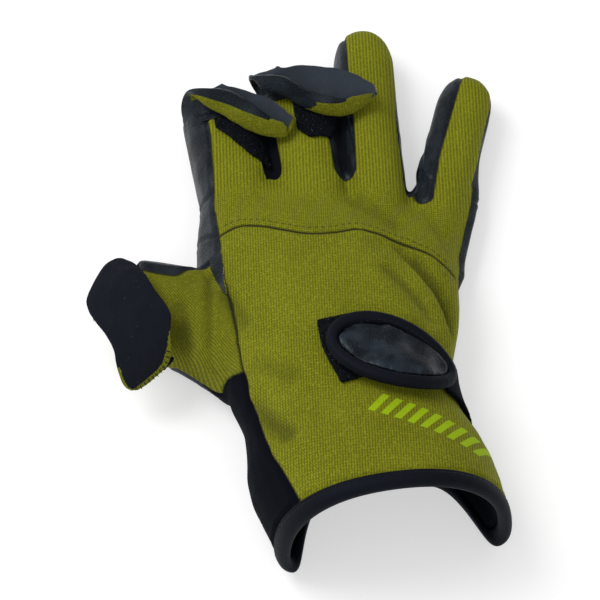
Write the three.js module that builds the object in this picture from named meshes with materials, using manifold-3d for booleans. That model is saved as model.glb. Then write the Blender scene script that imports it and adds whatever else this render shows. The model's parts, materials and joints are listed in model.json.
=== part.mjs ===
// A right-hand neoprene fishing glove, lying palm down with its wrist opening towards -Y.
// The thumb, index and middle fingers are slit, and their caps are folded back over the hand.
// Millimetres, +Z up, fingers along +Y. The back is olive neoprene, the palm black leather.
import * as THREE from "three";
import { mergeVertices } from "three/addons/utils/BufferGeometryUtils.js";
import Module from "manifold-3d";

const wasm = await Module();
wasm.setup();

// Driving dimensions
const wall = 2.5; // neoprene, and leather backed with it
const seamGap = 0.3; // between two panels that meet at a seam
const soleSink = 3; // how far a round section is pressed flat by the floor
const seamHeight = 14; // side seam between back and palm, above the floor
const bindingWidth = 7;
const bindingLap = 3; // the shell runs this far into the fold of the binding
const bindingProud = 1;
const rimScoop = 3.5; // the rim is cut back this much over the wrist's back
const scoopReach = 60;
const palmScoop = 34; // the palm's rim is cut back in a curve under the arch of the back
const palmScoopReach = 110;
const palmScoopWidth = 0.88; // as a share of the rim's half width
const farAway = 300; // past every edge of the glove

// Sections across the hand from rim to finger webs: left and right edges, height of the back,
// height of the widest level, and how far the section slants and bows with the knuckles.
const handSections = [
  { y: 0, left: -45, right: 45, top: 62, level: 15, slant: -0.05, bow: 0 },
  { y: 10, left: -47.5, right: 45.2, top: 61.5, level: 16, slant: -0.05, bow: 0 },
  { y: 20, left: -50.7, right: 44.3, top: 60, level: 18, slant: -0.04, bow: 0 },
  { y: 34, left: -52.3, right: 41.6, top: 57.5, level: 19, slant: -0.02, bow: 0 },
  { y: 46, left: -50.3, right: 37, top: 55, level: 19, slant: -0.02, bow: 0 },
  { y: 58, left: -49, right: 35.5, top: 53, level: 19, slant: -0.04, bow: 0 },
  { y: 72, left: -52.5, right: 36.5, top: 51, level: 19, slant: -0.08, bow: 0 },
  { y: 90, left: -51, right: 42, top: 49, level: 18, slant: -0.14, bow: -0.0002 },
  { y: 108, left: -50.5, right: 46, top: 46.5, level: 17, slant: -0.21, bow: -0.0005 },
  { y: 126, left: -54, right: 48.3, top: 43.5, level: 16, slant: -0.27, bow: -0.0008 },
  { y: 142, left: -50.6, right: 50, top: 38, level: 15, slant: -0.31, bow: -0.0012 },
  { y: 154, left: -47.5, right: 50.5, top: 31, level: 14, slant: -0.33, bow: -0.0015 },
  { y: 163, left: -46, right: 49, top: 25, level: 13, slant: -0.33, bow: -0.0015 },
  { y: 168, left: -43, right: 46, top: 20, level: 13, slant: -0.33, bow: -0.0015 },
];
const handSteps = 15;
const handSides = 28;
const archPower = 2.25; // 2 is an ellipse, more is squarer
const solePower = 3;

// Folds in the hand's back: a valley along each line, with its depth and its reach to both sides.
const folds = [
  { x1: 22, y1: 122, x2: 36, y2: 98, depth: 5, reach: 6 },
  { x1: 36, y1: 98, x2: 38, y2: 80, depth: 6, reach: 5 },
  { x1: 9, y1: 152, x2: 27, y2: 126, depth: 2.5, reach: 6 },
];

// Fingers: where each starts inside the hand, its lean to the right of +Y in degrees, its length,
// widths and heights at root and tip, and how far its olive back reaches to its left and right.
const fingers = [
  { name: "index", x: -31.6, y: 130, lean: 0.3, length: 81, rootWidth: 32.6, tipWidth: 32,
    rootTop: 37, tipTop: 26, oliveLeft: -8, oliveRight: 12.5, open: true },
  { name: "middle", x: -1.8, y: 130, lean: 1.7, length: 85, rootWidth: 29, tipWidth: 30,
    rootTop: 38, tipTop: 26.5, oliveLeft: -11.5, oliveRight: 10, open: true },
  { name: "ring", x: 20.3, y: 130, lean: 7.2, length: 111, rootWidth: 27.6, tipWidth: 24,
    rootTop: 36, tipTop: 24.5, oliveLeft: -7.2, oliveRight: 12.2, open: false },
  { name: "little", x: 36.4, y: 125, lean: 25, length: 92, rootWidth: 26, tipWidth: 22,
    rootTop: 27, tipTop: 23, oliveLeft: -3.5, oliveRight: 11.2, open: false },
];
const thumb = { name: "thumb", x: -36.7, y: 100.5, lean: -57.3, length: 58, rootWidth: 55,
  tipWidth: 29, rootTop: 39, tipTop: 27, oliveRight: 10, open: true };
const fingerSteps = 5;
const tipSteps = 3;
const fingerSides = 14;
const thumbSides = 16;
const fingerLevel = 12.5; // the widest level of a finger above the floor
const slitSlope = -0.35; // a slit is further back on the finger's back than on its front

// Left edge of the olive back, from the rim to the end of the index finger.
const backEdge = [
  { x: -33, y: -farAway }, { x: -33, y: 0 }, { x: -36.6, y: 13 }, { x: -42.5, y: 34 },
  { x: -45, y: 54 }, { x: -46, y: 78 }, { x: -45.2, y: 95 }, { x: -45.2, y: 110 },
  { x: -45.2, y: 128 }, { x: -44, y: 144 }, { x: -42.6, y: 160 }, { x: -40.2, y: 177 },
  { x: -38.1, y: 195 }, { x: -37.4, y: farAway },
];
// Black notches between the fingers, each round at its bottom.
const notches = [
  { x: -15.6, y: 174.1, radius: 3.4 },
  { x: 13.2, y: 168, radius: 4.2 },
  { x: 42.5, y: 150.4, radius: 3.8 },
];
// The wavy seam over the knuckles.
const knuckleSeam = [
  { x: -70, y: 138 }, { x: -44, y: 143 }, { x: -36, y: 144 }, { x: -28, y: 141 },
  { x: -18, y: 135.5 }, { x: -9, y: 131 }, { x: 1, y: 130 }, { x: 10, y: 130.5 },
  { x: 18, y: 128 }, { x: 26, y: 123.5 }, { x: 37, y: 117.5 }, { x: 47, y: 110 }, { x: 70, y: 96 },
];

// Hook patches on the slit fingers: their reach along and round the finger, in millimetres and
// degrees, and how far the near edge climbs towards the left.
const patches = [
  { name: "index_patch", finger: "index", from: 48.5, to: 75, climb: 21, power: 1, turn: [30, 102] },
  { name: "middle_patch", finger: "middle", from: 53, to: 80, climb: 8, power: 2, turn: [28, 98] },
];
const patchThickness = 1.3;

// Folded-back caps. Each is hinged on the cut edge of its finger, between these angles round it.
// Each row is a section of the cap: its near rim, the lowest part of its olive side, its far rim.
const caps = [
  { name: "index_cap", finger: "index", near: 168, low: 115, far: 70, rows: [
    [-46.8, 213.6, 23, -38, 212, 28.5, -29.5, 211.6, 29.5],
    [-43.8, 213.6, 32.5, -40, 210.7, 31, -29.5, 212, 32.5],
    [-35.8, 209.8, 37.5, -38.6, 207, 31.5, -27.5, 211.3, 34],
    [-28.4, 205.9, 39, -29.8, 199, 29.5, -21.7, 208.7, 34],
    [-22.3, 200.3, 39, -23.4, 193, 28.5, -16.1, 205.2, 33.5],
    [-17.9, 195.1, 38, -17.5, 188.9, 28.5, -10.5, 201.4, 33.5],
    [-13, 190.2, 36.5, -12, 187, 29, -6.3, 197, 34],
    [-8.3, 188.9, 36, -7.9, 186.5, 30, -3.7, 193.2, 34.5],
    [-6.2, 187.1, 35.5, -5.9, 186.5, 32.5, -2.6, 190.2, 35],
  ] },
  { name: "middle_cap", finger: "middle", near: 165, low: 115, far: 70, rows: [
    [-17, 217, 24, -10, 216.4, 29, -2.5, 216.6, 30],
    [-17.5, 215.6, 31.5, -12.8, 213.9, 31, -4.5, 216.6, 32.5],
    [-11.6, 212.2, 36.5, -12.6, 208.6, 30.5, -4.1, 216, 34],
    [-3.8, 207.6, 39, -3.1, 202.8, 30.5, 2.3, 215.8, 34],
    [2, 201, 39, 3.3, 197.2, 30, 8.8, 214.3, 34],
    [9.2, 197.3, 38, 10.1, 193.4, 29.5, 15.9, 211.9, 34],
    [16.2, 194.6, 37, 16.6, 192.1, 29, 21.3, 209.6, 34],
    [22.5, 195, 36, 22.4, 192, 30, 25.7, 206.2, 34.5],
    [28.1, 195.8, 35.5, 27.8, 193.7, 32, 28.8, 203, 35],
    [31.9, 195.9, 35, 31.4, 195.1, 34, 30.4, 198.8, 35.5],
  ] },
];
const capSteps = 13;
const capColumns = 5;
const capWall = 1.2; // thinner than the rest, so that it can turn its tight bend
const capSlit = 0.035; // the seam's gap, as a share of the cap's half width
const capSide = 0.5; // share of the cap's half width that its leather side takes at the hinge
const capSideEnds = 0.7; // share of the length where that side has tapered away

// The thumb's flap, from its top to its hanging end: left edge, then right edge.
const flapRows = [
  [-88.5, 140.6, 29.5, -80, 137.6, 32],
  [-93.6, 136.4, 30, -76.6, 129.5, 36],
  [-98.1, 131.1, 30, -74.6, 122.1, 37.5],
  [-101.2, 124.9, 29.5, -71.6, 114.2, 38],
  [-100.9, 119.3, 29.5, -69.7, 108.8, 37],
  [-99, 113.9, 30, -70, 105.1, 35.5],
  [-96, 107.3, 30, -71.3, 100.5, 33.5],
  [-94.2, 100.8, 28.5, -71.9, 95.4, 30.5],
  [-94, 96.6, 26, -73.4, 91.8, 27.5],
  [-93.8, 93.4, 23.5, -76.7, 89.8, 24],
  [-93, 90.4, 20.5, -82, 88.2, 20.5],
  [-90.8, 88, 18.7, -86.4, 87.2, 18.7],
];
const flapArch = 2.5; // the flap's middle stands this much above its edges
const flapSteps = 12;
// The flap's hinge: its stretch of the thumb's cut edge in degrees and of the flap's length.
const flapHinge = { turn: [128, 52], reach: [0.42, 0.1], bulge: 4, sag: 0, thickness: 2 };
const flapPatch = { from: 0.7, to: 0.96, left: -0.1, right: 1.25, thickness: 1.2 };

// Wrist strap: a slanting band over the right of the wrist, ending in an oval pad over a tab.
// Places on the hand's back are given by their way round it from the middle, and their y.
const strap = { y: 67, slope: -0.22, width: 24, thickness: 2, lift: 0.6, from: 40, to: 82 };
const pad = { u: 20, y: 66, halfLength: 27, halfWidth: 16, thickness: 3.4, lift: 3.3, turn: -18 };
const piping = { radius: 2.6, sides: 6, steps: 32 };
const tab = { u: 3, y: 70.8, halfWidth: 8, halfHeight: 13.7, thickness: 1.8, lift: 0.3, turn: 9 };
const padRings = 3;
const padSides = 24;

const materials = {
  olive: new THREE.MeshStandardMaterial({ color: 0x7b7e20, roughness: 0.85, metalness: 0 }),
  neoprene: new THREE.MeshStandardMaterial({ color: 0x1d1e25, roughness: 0.9, metalness: 0 }),
  leather: new THREE.MeshStandardMaterial({ color: 0x262b31, roughness: 0.5, metalness: 0 }),
  hook: new THREE.MeshStandardMaterial({ color: 0x0c0c10, roughness: 0.95, metalness: 0 }),
  binding: new THREE.MeshStandardMaterial({ color: 0x14151b, roughness: 0.75, metalness: 0 }),
};

// A smooth run through the rows of a table of numbers, at any share of its length.
function rowAlong(rows, share) {
  const last = rows.length - 1;
  const i = Math.min(Math.floor(share * last), last - 1);
  const t = share * last - i;
  return rows[i].map((_, k) => {
    const [p0, p1, p2, p3] = [i - 1, i, i + 1, i + 2].map(
      (j) => rows[THREE.MathUtils.clamp(j, 0, last)][k]);
    return 0.5 * (2 * p1 + (p2 - p0) * t + (2 * p0 - 5 * p1 + 4 * p2 - p3) * t * t
      + (3 * p1 - p0 - 3 * p2 + p3) * t ** 3);
  });
}

// The hand's section at any y.
function sectionAt(y) {
  const last = handSections.length - 1;
  const above = handSections.findIndex((row) => row.y > y);
  const i = above < 0 ? last - 1 : Math.max(above - 1, 0);
  const [a, b] = [handSections[i], handSections[i + 1]];
  const t = THREE.MathUtils.clamp((y - a.y) / (b.y - a.y), 0, 1);
  const names = Object.keys(a);
  const values = rowAlong(handSections.map((row) => names.map((n) => row[n])), (i + t) / last);
  return Object.fromEntries(names.map((name, k) => [name, values[k]]));
}

const signedPower = (value, power) => Math.sign(value) * Math.abs(value) ** power;

// A point of a flat-soled section, at an angle from its right edge, grown outward by lift.
function sectionPoint(angle, halfWidth, top, level, lift) {
  const [c, s] = [Math.cos(angle), Math.sin(angle)];
  const power = 2 / (s > 0 ? archPower : solePower);
  const rise = (s > 0 ? top - level : level + soleSink) + lift;
  const z = level + Math.max(rise, 0.4) * signedPower(s, power);
  const aside = signedPower(c, power);
  const spread = s > 0 ? lift : lift * Math.abs(aside) ** 6; // the sole only grows at its sides
  return { x: Math.max(halfWidth + spread, 0.4) * aside, z: Math.max(z, -lift, 0) };
}

function foldDepth(x, y) {
  let depth = 0;
  for (const fold of folds) {
    const [dx, dy] = [fold.x2 - fold.x1, fold.y2 - fold.y1];
    const t = THREE.MathUtils.clamp(
      ((x - fold.x1) * dx + (y - fold.y1) * dy) / (dx * dx + dy * dy), 0, 1);
    const away = Math.hypot(x - fold.x1 - t * dx, y - fold.y1 - t * dy);
    depth = Math.max(depth, fold.depth * Math.exp(-((away / fold.reach) ** 2)));
  }
  return depth;
}

function handPoint(y, angle, lift) {
  const row = sectionAt(y);
  const section = sectionPoint(angle, (row.right - row.left) / 2, row.top, row.level, lift);
  const x = (row.left + row.right) / 2 + section.x;
  const scoop = rimScoop * (section.z / row.top) * THREE.MathUtils.clamp(1 - y / scoopReach, 0, 1);
  const across = Math.min(Math.abs(Math.cos(angle)) ** (2 / solePower) / palmScoopWidth, 1);
  const under = Math.sin(angle) < 0 ? Math.cos((across ** 4 * Math.PI) / 2) ** 2 : 0;
  const cutBack = palmScoop * under * THREE.MathUtils.clamp(1 - y / palmScoopReach, 0, 1);
  const along = y + scoop + cutBack + row.slant * x + row.bow * x * x;
  const onBack = THREE.MathUtils.smoothstep(section.z, row.level, row.top);
  return new THREE.Vector3(x, along, section.z - foldDepth(x, along) * onBack);
}

// A point on a finger, at a distance from its start, grown outward by lift.
function fingerPoint(finger, along, angle, lift) {
  const share = THREE.MathUtils.clamp(along / finger.length, 0, 1);
  const width = THREE.MathUtils.lerp(finger.rootWidth, finger.tipWidth, share ** 0.7);
  const top = THREE.MathUtils.lerp(finger.rootTop, finger.tipTop, share ** 0.55);
  const tipLength = finger.tipWidth * 0.6;
  const end = finger.length + lift;
  let round = 1;
  if (!finger.open && along > end - tipLength)
    round = Math.sqrt(Math.max(1 - ((along - end + tipLength) / tipLength) ** 2, 0.0009));
  const rise = (top - fingerLevel + lift) * round - lift;
  const section = sectionPoint(angle, (width / 2 + lift) * round - lift, fingerLevel + rise,
    fingerLevel, lift);
  section.z = Math.max(section.z, fingerLevel - (fingerLevel + lift) * round);
  const slit = finger.open ? slitSlope * share ** 6 * (section.z - fingerLevel) : 0;
  const lean = THREE.MathUtils.degToRad(finger.lean);
  const out = along + slit;
  return new THREE.Vector3(
    finger.x + section.x * Math.cos(lean) + out * Math.sin(lean),
    finger.y - section.x * Math.sin(lean) + out * Math.cos(lean),
    section.z,
  );
}

// Index triples as a geometry whose faces point outward.
function bodyFrom(points, triangles) {
  let volume = 0;
  for (const [a, b, c] of triangles)
    volume += points[a].dot(new THREE.Vector3().crossVectors(points[b], points[c]));
  const index = volume < 0 ? triangles.map(([a, b, c]) => [a, c, b]) : triangles;
  const geometry = new THREE.BufferGeometry().setFromPoints(points);
  geometry.setIndex(index.flat());
  return geometry;
}

// Closed skin over rings of points, with flat or pointed ends.
function loft(rings) {
  const sides = rings[0].length;
  const points = rings.flat();
  const triangles = [];
  for (let i = 0; i + 1 < rings.length; i++)
    for (let j = 0; j < sides; j++) {
      const [a, b] = [i * sides + j, i * sides + ((j + 1) % sides)];
      triangles.push([a, b, b + sides], [a, b + sides, a + sides]);
    }
  for (const [ring, flip] of [[0, true], [rings.length - 1, false]]) {
    const middle = new THREE.Vector3();
    rings[ring].forEach((point) => middle.addScaledVector(point, 1 / sides));
    const centre = points.push(middle) - 1;
    for (let j = 0; j < sides; j++) {
      const [a, b] = [ring * sides + j, ring * sides + ((j + 1) % sides)];
      triangles.push(flip ? [centre, b, a] : [centre, a, b]);
    }
  }
  return bodyFrom(points, triangles);
}

// A sheet with thickness: two grids of points, rows by columns, joined round their edges.
function sheet(outer, inner) {
  const [rows, columns] = [outer.length, outer[0].length];
  const points = [...outer.flat(), ...inner.flat()];
  const under = rows * columns;
  const triangles = [];
  for (let i = 0; i + 1 < rows; i++)
    for (let j = 0; j + 1 < columns; j++) {
      const a = i * columns + j;
      triangles.push([a, a + 1, a + columns + 1], [a, a + columns + 1, a + columns]);
      const b = a + under;
      triangles.push([b, b + columns + 1, b + 1], [b, b + columns, b + columns + 1]);
    }
  const edge = [];
  for (let j = 0; j < columns - 1; j++) edge.push(j);
  for (let i = 0; i < rows - 1; i++) edge.push(i * columns + columns - 1);
  for (let j = columns - 1; j > 0; j--) edge.push((rows - 1) * columns + j);
  for (let i = rows - 1; i > 0; i--) edge.push(i * columns);
  edge.forEach((a, k) => {
    const b = edge[(k + 1) % edge.length];
    triangles.push([b, a, a + under], [b, a + under, b + under]);
  });
  return bodyFrom(points, triangles);
}

// A ring-shaped body: a closed section carried round a closed path.
function torus(sections) {
  const [around, sides] = [sections.length, sections[0].length];
  const triangles = [];
  for (let i = 0; i < around; i++)
    for (let j = 0; j < sides; j++) {
      const [a, b] = [i * sides + j, i * sides + ((j + 1) % sides)];
      const next = (k) => (k + sides) % (around * sides);
      triangles.push([a, b, next(b)], [a, next(b), next(a)]);
    }
  return bodyFrom(sections.flat(), triangles);
}

function solidOf(geometry) {
  const plain = geometry.index ? geometry.clone() : mergeVertices(geometry);
  plain.deleteAttribute("normal");
  plain.deleteAttribute("uv");
  const merged = mergeVertices(plain, 1e-4);
  return new wasm.Manifold(new wasm.Mesh({
    numProp: 3,
    vertProperties: new Float32Array(merged.attributes.position.array),
    triVerts: new Uint32Array(merged.index.array),
  }));
}

function geometryOf(solid) {
  const mesh = solid.getMesh();
  const geometry = new THREE.BufferGeometry();
  geometry.setAttribute("position", new THREE.BufferAttribute(mesh.vertProperties, 3));
  geometry.setIndex(new THREE.BufferAttribute(mesh.triVerts, 1));
  return geometry;
}

const joined = (solids) => solids.reduce((all, solid) => all.add(solid));

// The main body of a cut panel, without the crumbs that a cut leaves beside it.
function mainBody(solid) {
  return solid.decompose().reduce((most, body) => (body.volume() > most.volume() ? body : most));
}

const range = (count) => Array.from({ length: count + 1 }, (_, i) => i / count);
const angles = (sides) => range(sides).slice(0, sides).map((t) => t * 2 * Math.PI);

function handBody(lift, startY) {
  const end = handSections.at(-1).y + lift;
  const steps = range(handSteps).map((t) => THREE.MathUtils.lerp(startY, end, t));
  return solidOf(loft(steps.map((y) => angles(handSides).map((a) => handPoint(y, a, lift)))));
}

function fingerBody(finger, lift, sides) {
  const open = finger.open;
  const tipLength = finger.tipWidth * 0.6;
  const end = finger.length + lift;
  const straight = open ? finger.length + (lift < 0 ? 12 : 0) : end - tipLength;
  const stops = range(fingerSteps).map((t) => t * straight);
  if (!open)
    for (const t of range(tipSteps).slice(1))
      stops.push(end - tipLength + tipLength * Math.sin((t * Math.PI) / 2));
  return solidOf(loft(stops.map((s) => angles(sides).map((a) => fingerPoint(finger, s, a, lift)))));
}

// An upright block over a plan outline.
function prism(outline, bottom) {
  const shape = new THREE.Shape(outline.map((p) => new THREE.Vector2(p.x, p.y)));
  const geometry = new THREE.ExtrudeGeometry(shape, { depth: farAway, bevelEnabled: false });
  return solidOf(geometry.translate(0, 0, bottom));
}

// A point beside a finger's middle line, in plan.
function beside(finger, along, aside) {
  const lean = THREE.MathUtils.degToRad(finger.lean);
  return {
    x: finger.x + aside * Math.cos(lean) + along * Math.sin(lean),
    y: finger.y - aside * Math.sin(lean) + along * Math.cos(lean),
  };
}

// Plan of the whole olive back with its four finger backs, grown outward by grow.
function backOutline(grow) {
  const outline = backEdge.map((p) => ({ x: p.x - grow, y: p.y }));
  fingers.forEach((finger, i) => {
    if (i > 0) {
      outline.push(beside(finger, 46, finger.oliveLeft - grow));
      outline.push(beside(finger, farAway, finger.oliveLeft - grow));
    }
    outline.push(beside(finger, farAway, finger.oliveRight + grow));
    if (i === fingers.length - 1) return;
    outline.push(beside(finger, 50, finger.oliveRight + grow));
    const notch = notches[i];
    const radius = notch.radius - grow;
    for (const t of range(6))
      outline.push({
        x: notch.x - radius * Math.cos(t * Math.PI),
        y: notch.y - radius * Math.sin(t * Math.PI),
      });
  });
  const little = fingers.at(-1);
  outline.push(beside(little, 40, little.oliveRight + grow), beside(little, 18, 22));
  outline.push({ x: 75, y: 100 }, { x: 75, y: -farAway });
  return outline;
}

function knuckleOutline(shift) {
  const curve = new THREE.SplineCurve(knuckleSeam.map((p) => new THREE.Vector2(p.x, p.y - shift)));
  const line = curve.getPoints(knuckleSeam.length * 2);
  return [...line, { x: farAway, y: farAway }, { x: -farAway, y: farAway }];
}

// Plan of the thumb's olive back, from the hand's left edge to past the thumb's end.
function thumbOutline(grow) {
  const far = thumb.length + 40;
  return [
    { x: -30, y: 77 - grow }, { x: -50, y: 77 - grow }, { x: -56, y: 70 - grow },
    beside(thumb, 10, -50), beside(thumb, far, -50), beside(thumb, far, thumb.oliveRight - 8.5 + grow),
    beside(thumb, 30, thumb.oliveRight + 1 + grow), { x: -48, y: 132 + grow }, { x: -30, y: 134 + grow },
  ];
}

const gussetOutline = (grow) => [
  { x: -90, y: -farAway }, { x: 0, y: -farAway }, { x: 0, y: 90 + grow }, { x: -90, y: 90 + grow },
];

// Plan of one finger's underside, from its web outward.
function frontOutline(finger, start, grow) {
  const halfWidth = finger.rootWidth / 2 + 4;
  const outer = finger.length + 30;
  return [
    beside(finger, start - grow, -halfWidth - grow), beside(finger, start - grow, halfWidth + grow),
    beside(finger, outer, halfWidth + grow), beside(finger, outer, -halfWidth - grow),
  ];
}

// The whole glove as one shell, then cut into its panels.
function panels() {
  const digits = [...fingers, thumb];
  const sides = (finger) => (finger === thumb ? thumbSides : fingerSides);
  const outer = joined([handBody(0, bindingWidth - bindingLap),
    ...digits.map((f) => fingerBody(f, 0, sides(f)))]);
  const inner = joined([handBody(-wall, -15), ...digits.map((f) => fingerBody(f, -wall, sides(f)))]);
  let rest = outer.subtract(inner).subtract(solidOf(cuffBinding(seamGap)));
  const take = (outlineOf, bottom) => {
    const panel = rest.intersect(prism(outlineOf(0), bottom));
    rest = rest.subtract(prism(outlineOf(seamGap), bottom - seamGap));
    return panel;
  };
  const back = take(backOutline, seamHeight);
  const made = {
    finger_backs: back.intersect(prism(knuckleOutline(0), 0)),
    hand_back: back.subtract(prism(knuckleOutline(seamGap), 0)),
    thumb_back: take(thumbOutline, 9),
    cuff_gusset: take(gussetOutline, 7),
  };
  const starts = { index: 36, middle: 34, ring: 32, little: 34, thumb: 26 };
  for (const finger of digits)
    made[finger.name + "_front"] = take((grow) => frontOutline(finger, starts[finger.name], grow), -1);
  made.palm = rest;
  return made;
}

// The folded tape round the rim, grown outward by grow.
function cuffBinding(grow) {
  const [outside, inside] = [bindingProud + grow, -wall - bindingProud - grow];
  const far = bindingWidth + grow;
  const section = [
    { y: 0.8 - grow, lift: outside }, { y: bindingWidth * 0.5, lift: outside + 0.3 },
    { y: far, lift: outside }, { y: far, lift: inside },
    { y: bindingWidth * 0.5, lift: inside - 0.3 }, { y: 0.8 - grow, lift: inside },
    { y: -0.6 - grow, lift: (outside + inside) / 2 },
  ];
  return torus(angles(handSides).map((a) => section.map((p) => handPoint(p.y, a, p.lift))));
}

// A sheet of cloth from its olive side: at(t, v) is a point of it, v running from -1 to 1.
function clothFrom(at, from, to, steps, columns, outside, inside) {
  const small = 0.004;
  const grid = (offset) => range(steps).map((t) => range(columns).map((c) => {
    const v = THREE.MathUtils.lerp(from(t), to(t), c);
    const along = at(Math.min(t + small, 1), v).sub(at(Math.max(t - small, 0), v));
    const across = at(t, v + small).sub(at(t, v - small));
    const normal = new THREE.Vector3().crossVectors(across, along).normalize();
    return at(t, v).addScaledVector(normal, offset);
  }));
  return sheet(grid(outside), grid(inside));
}

// The olive side of a cap: each section is a smooth trough through near rim, low part, far rim.
function capSurface(cap) {
  const finger = fingers.find((f) => f.name === cap.finger);
  const hinge = [cap.near, cap.low, cap.far].flatMap((degrees) =>
    fingerPoint(finger, finger.length + 0.5, THREE.MathUtils.degToRad(degrees), 0).toArray());
  const rows = [hinge, ...cap.rows];
  return (t, v) => {
    const row = rowAlong(rows, t);
    const point = (k) => new THREE.Vector3(row[k], row[k + 1], row[k + 2]);
    return point(0).multiplyScalar((v * (v - 1)) / 2)
      .addScaledVector(point(3), 1 - v * v)
      .addScaledVector(point(6), (v * (v + 1)) / 2);
  };
}

// Where a cap's leather side ends, along its length.
const capSeam = (t) => -1 + capSide * Math.max(1 - t / capSideEnds, 0) ** 0.7;

// The thumb's flap lies over its cut end and hangs past it.
function flapSurface(t, v) {
  const row = rowAlong(flapRows, t);
  const mix = (k) => THREE.MathUtils.lerp(row[k], row[k + 3], (v + 1) / 2);
  const arch = flapArch * Math.min((row[3] - row[0]) / 24, 1);
  return new THREE.Vector3(mix(0), mix(1), mix(2) + arch * (1 - v * v));
}

// The hinge of the flap: from the thumb's cut edge, out and up to the flap's left edge.
function hingeSurface(t, v) {
  const angle = THREE.MathUtils.degToRad(THREE.MathUtils.lerp(...flapHinge.turn, t));
  const edge = fingerPoint(thumb, thumb.length + 1, angle, 0);
  const top = flapSurface(THREE.MathUtils.lerp(...flapHinge.reach, t), -0.92);
  top.z -= wall + 0.8;
  const lean = THREE.MathUtils.degToRad(thumb.lean);
  const out = edge.clone().lerp(top, 0.5)
    .addScaledVector(new THREE.Vector3(Math.sin(lean), Math.cos(lean), 0), flapHinge.bulge);
  out.z -= flapHinge.sag;
  return edge.multiplyScalar((v * (v - 1)) / 2)
    .addScaledVector(out, 1 - v * v)
    .addScaledVector(top, (v * (v + 1)) / 2);
}

function onHand(u, y, lift) {
  // u is the way over the back from the hand's middle, to the right
  const sides = 90;
  const line = range(sides).map((t) => handPoint(y, Math.PI / 2 - t * Math.PI * 0.75, lift));
  const left = range(sides).map((t) => handPoint(y, Math.PI / 2 + t * Math.PI * 0.75, lift));
  const way = u < 0 ? left : line;
  let rest = Math.abs(u);
  for (let i = 0; i + 1 < way.length; i++) {
    const step = way[i].distanceTo(way[i + 1]);
    if (rest <= step) return way[i].clone().lerp(way[i + 1], rest / step);
    rest -= step;
  }
  return way.at(-1).clone();
}

// A pad on the hand's back over an outline given by its polar radius.
function padBody(centre, radiusAt, lift, thickness, crown) {
  const turn = THREE.MathUtils.degToRad(centre.turn);
  const place = (share, angle, height) => {
    const out = radiusAt(angle);
    const [p, q] = [out.x * share, out.y * share];
    return onHand(centre.u + p * Math.cos(turn) - q * Math.sin(turn),
      centre.y + p * Math.sin(turn) + q * Math.cos(turn), height);
  };
  const ring = (share, height) => angles(padSides).map((a) => place(share, a, height));
  const shares = range(padRings).slice(1);
  const rings = [...shares.map((s) => ring(s, lift)),
    ...shares.toReversed().map((s) => ring(s, lift + thickness + crown * (1 - s * s)))];
  return loft(rings);
}

function strapPad() {
  const inset = 2 * piping.radius + 5 * seamGap;
  return padBody(pad, (a) => padRadius(a, inset), pad.lift, pad.thickness, -0.6);
}

// The pad's outline: an oval, a little narrower to the upper right.
function padRadius(angle, inset) {
  return {
    x: (pad.halfLength - inset) * Math.cos(angle),
    y: (pad.halfWidth - inset) * Math.sin(angle) * (1 - 0.1 * Math.cos(angle - 0.9)),
  };
}

function strapPiping() {
  const turn = THREE.MathUtils.degToRad(pad.turn);
  const place = (angle, height) => {
    const p = padRadius(angle, piping.radius);
    return onHand(pad.u + p.x * Math.cos(turn) - p.y * Math.sin(turn),
      pad.y + p.x * Math.sin(turn) + p.y * Math.cos(turn), height);
  };
  const stops = angles(piping.steps);
  const path = stops.map((a) => place(a, pad.lift + piping.radius));
  return torus(path.map((point, i) => {
    const next = path[(i + 1) % path.length];
    const along = new THREE.Vector3().subVectors(next, path.at(i - 1)).normalize();
    const up = place(stops[i], pad.lift + piping.radius + 1).sub(point);
    const side = new THREE.Vector3().crossVectors(along, up).normalize();
    const over = new THREE.Vector3().crossVectors(side, along);
    return angles(piping.sides).map((a) => point.clone()
      .addScaledVector(side, piping.radius * Math.cos(a))
      .addScaledVector(over, piping.radius * Math.sin(a)));
  }));
}

function strapBand() {
  const grid = (lift) => range(14).map((t) => range(4).map((c) => {
    const u = THREE.MathUtils.lerp(strap.from, strap.to, t);
    return onHand(u, strap.y + strap.slope * (u - pad.u) + (c - 0.5) * strap.width, lift);
  }));
  return sheet(grid(strap.lift + strap.thickness), grid(strap.lift));
}

function strapTab() {
  const turn = THREE.MathUtils.degToRad(tab.turn);
  const grid = (lift) => range(4).map((t) => range(5).map((c) => {
    const [p, q] = [(t * 2 - 1) * tab.halfWidth, (c * 2 - 1) * tab.halfHeight];
    return onHand(tab.u + p * Math.cos(turn) - q * Math.sin(turn),
      tab.y + p * Math.sin(turn) + q * Math.cos(turn), lift);
  }));
  return sheet(grid(tab.lift + tab.thickness), grid(tab.lift));
}

function fingerPatch(patch) {
  const finger = fingers.find((f) => f.name === patch.finger);
  const grid = (lift) => range(4).map((t) => range(5).map((c) => {
    const angle = THREE.MathUtils.degToRad(THREE.MathUtils.lerp(...patch.turn, c));
    const start = patch.from + patch.climb * c ** patch.power;
    return fingerPoint(finger, THREE.MathUtils.lerp(start, patch.to, t), angle, lift);
  }));
  return sheet(grid(seamGap + patchThickness), grid(seamGap));
}

const glove = new THREE.Group();
glove.name = "neoprene_glove";

function addPiece(name, geometry, material) {
  const mesh = new THREE.Mesh(geometry, material);
  mesh.name = name;
  glove.add(mesh);
  return mesh;
}

const finishes = { finger_backs: "olive", hand_back: "olive", thumb_back: "olive",
  cuff_gusset: "neoprene" };
for (const [name, solid] of Object.entries(panels()))
  addPiece(name, geometryOf(mainBody(solid)), materials[finishes[name] ?? "leather"]);
addPiece("cuff_binding", cuffBinding(0), materials.binding);

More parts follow.
